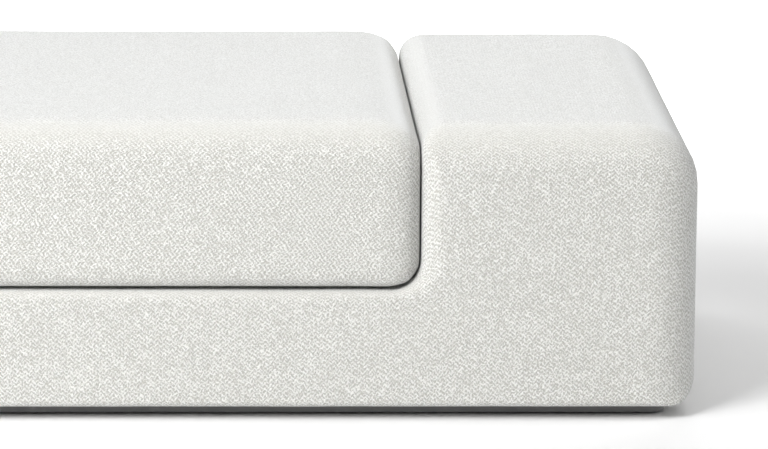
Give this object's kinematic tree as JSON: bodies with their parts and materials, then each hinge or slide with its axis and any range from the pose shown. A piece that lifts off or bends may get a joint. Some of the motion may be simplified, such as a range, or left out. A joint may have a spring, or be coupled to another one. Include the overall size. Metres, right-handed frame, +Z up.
{
  "type": "backless divan",
  "caption": "Low upholstered divan without a back: a cradle with a raised block at each end and a loose seat cushion in the well between them, on a recessed dark plinth.",
  "frame": {"origin": "on the floor, under the middle of the divan", "axes": "+X to the right along the divan, +Y to the back, +Z up; the front faces -Y"},
  "size_m": [1.664, 0.9, 0.422],
  "materials": {
    "boucle": "off-white boucle, fine nubby twill",
    "foam": "open-cell polyurethane foam",
    "fibre": "polyester wadding",
    "felt": "needled felt",
    "dust_cloth": "black spunbonded cloth",
    "plywood": "unfinished birch plywood",
    "plinth_lacquer": "matt dark grey lacquer",
    "zinc_steel": "zinc-plated",
    "glide_nylon": "moulded nylon",
    "grip_tape": "hook-and-loop tape",
    "zip_tape": "woven tape with a moulded coil"
  },
  "bodies": {
    "cradle": {"base_cover": "boucle", "left_block_foam": "foam", "right_block_foam": "foam", "deck_foam": "foam", "front_foam": "foam", "back_foam": "foam", "deck_felt": "felt", "dust_cover": "dust_cloth", "front_panel": "plywood", "back_panel": "plywood", "left_inner_panel": "plywood", "right_inner_panel": "plywood", "left_end_panel": "plywood", "right_end_panel": "plywood", "left_block_rib": "plywood", "right_block_rib": "plywood", "left_block_top_board": "plywood", "right_block_top_board": "plywood", "left_cross_rail": "plywood", "right_cross_rail": "plywood", "corner_block_front_left": "plywood", "corner_block_front_right": "plywood", "corner_block_back_left": "plywood", "corner_block_back_right": "plywood", "plinth_front_rail": "plinth_lacquer", "plinth_back_rail": "plinth_lacquer", "plinth_left_rail": "plinth_lacquer", "plinth_right_rail": "plinth_lacquer", "plinth_cross_rail_left": "plinth_lacquer", "plinth_cross_rail_right": "plinth_lacquer", "plinth_bolt_front_left": "zinc_steel", "plinth_bolt_front_right": "zinc_steel", "plinth_bolt_back_left": "zinc_steel", "plinth_bolt_back_right": "zinc_steel", "plinth_bolt_middle_left": "zinc_steel", "plinth_bolt_middle_right": "zinc_steel", "front_spring_rail": "zinc_steel", "back_spring_rail": "zinc_steel", "zigzag_spring_1": "zinc_steel", "zigzag_spring_2": "zinc_steel", "zigzag_spring_3": "zinc_steel", "zigzag_spring_4": "zinc_steel", "zigzag_spring_5": "zinc_steel", "zigzag_spring_6": "zinc_steel", "glide_front_left": "glide_nylon", "glide_front_middle": "glide_nylon", "glide_front_right": "glide_nylon", "glide_back_left": "glide_nylon", "glide_back_middle": "glide_nylon", "glide_back_right": "glide_nylon", "hook_strip_front": "grip_tape", "hook_strip_back": "grip_tape"},
    "seat_cushion": {"cushion_cover": "boucle", "cushion_fibre_wrap": "fibre", "cushion_foam_core": "foam", "cushion_zip_tape": "zip_tape", "loop_strip_front": "grip_tape", "loop_strip_back": "grip_tape"},
    "zip_slider": {"cushion_zip_slider": "zinc_steel"}
  },
  "joints": [
    {"name": "cushion_lift", "type": "slide", "parent": "cradle", "child": "seat_cushion", "axis": [0, 0, 1], "range_m": [0, 0.26]},
    {"name": "zip_slide", "type": "slide", "parent": "seat_cushion", "child": "zip_slider", "axis": [-1, 0, 0], "range_m": [0, 0.572]}
  ]
}
